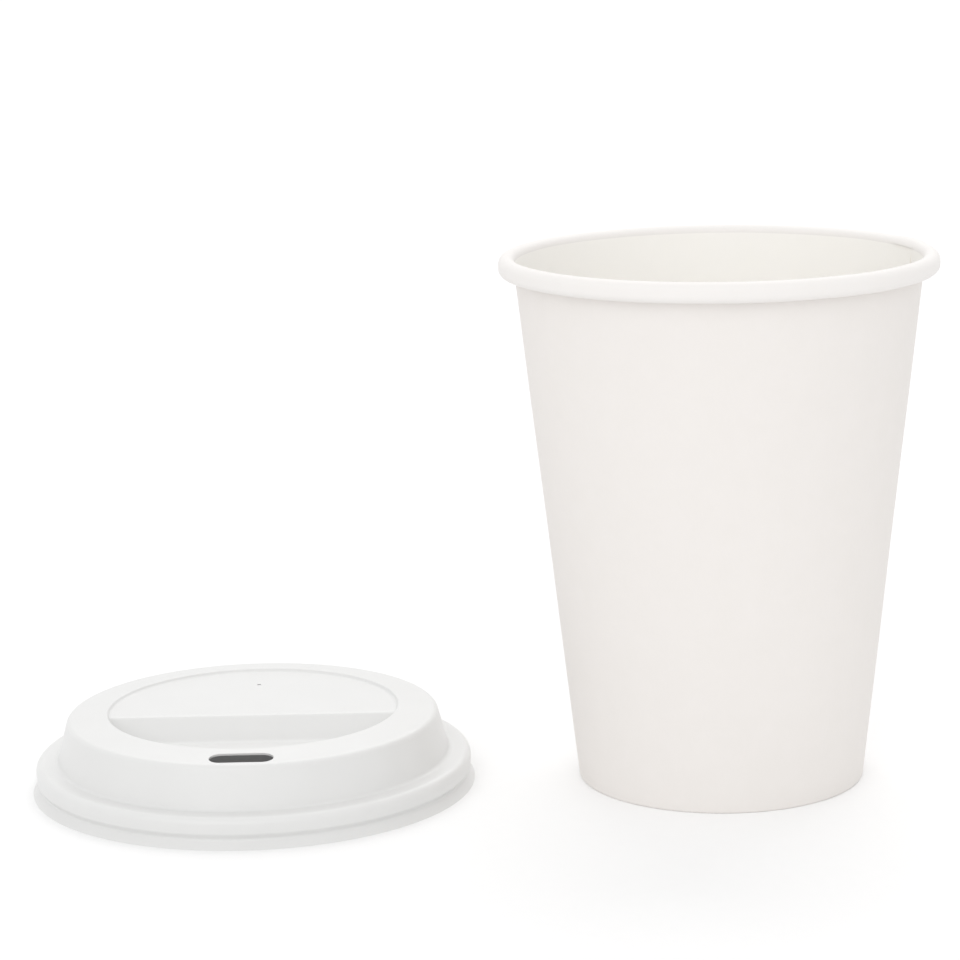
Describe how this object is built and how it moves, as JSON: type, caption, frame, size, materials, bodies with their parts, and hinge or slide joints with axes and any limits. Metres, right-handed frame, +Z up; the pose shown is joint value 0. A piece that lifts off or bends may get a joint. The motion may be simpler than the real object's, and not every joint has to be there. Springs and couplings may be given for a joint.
{
  "type": "takeaway paper coffee cup",
  "caption": "Tapered takeaway cup of white coated paperboard with a rolled rim and a recessed base, and its white plastic sip lid taken off and lying flat beside it.",
  "frame": {"origin": "centre of the cup's foot ring, on the table", "axes": "+Z up along the cup's axis, the lid lies flat at -X with its drinking side towards -Y"},
  "size_m": [0.19, 0.093, 0.1104],
  "materials": {
    "board": "smooth white paperboard with a thin clear coating inside",
    "lid_plastic": "satin"
  },
  "bodies": {
    "root": {"cup_wall": "board", "cup_base": "board", "lid": "lid_plastic"}
  },
  "joints": []
}
